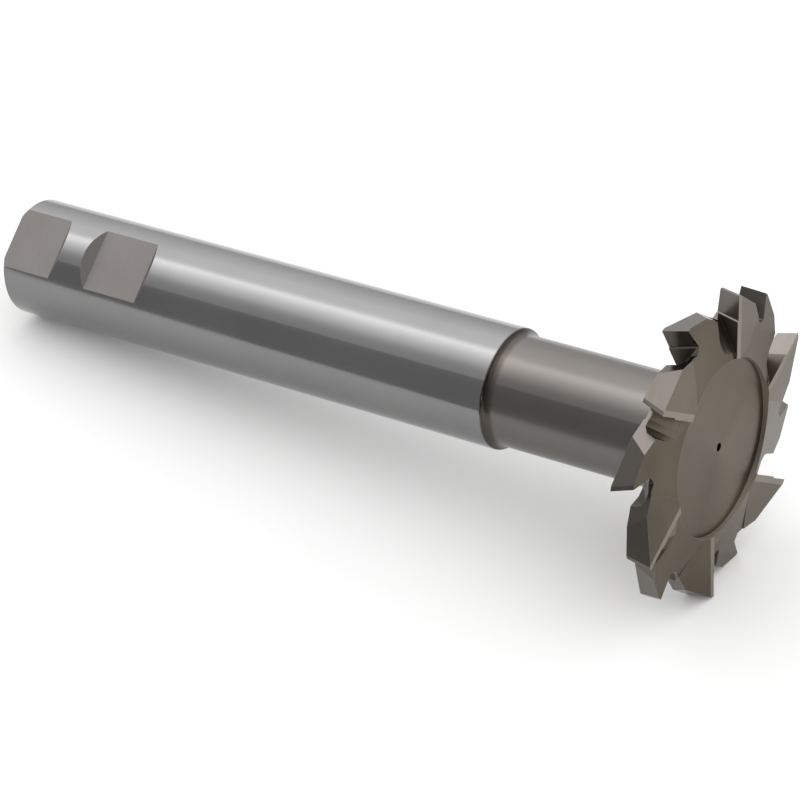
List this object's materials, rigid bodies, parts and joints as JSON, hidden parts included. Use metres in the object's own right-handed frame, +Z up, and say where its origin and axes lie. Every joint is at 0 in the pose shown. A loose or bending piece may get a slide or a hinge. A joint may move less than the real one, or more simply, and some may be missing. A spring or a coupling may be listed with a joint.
{
  "type": "t slot cutter",
  "caption": "Milling cutter for T slots: a thin disc head with staggered side and face teeth on a slim neck and a straight shank with clamping flats.",
  "frame": {"origin": "middle of the outline seen from above, at the level the cutter rests on", "axes": "+X along the cutter towards the toothed head, +Z up, +Y to the left; the cutter lies at rest on two teeth and the rear rim of its shank, so its axis climbs about 6 degrees towards the head"},
  "size_m": [0.175, 0.0622, 0.0619],
  "materials": {
    "t_slot_cutter": "ground"
  },
  "bodies": {
    "root": {"t_slot_cutter": "t_slot_cutter"}
  },
  "joints": []
}
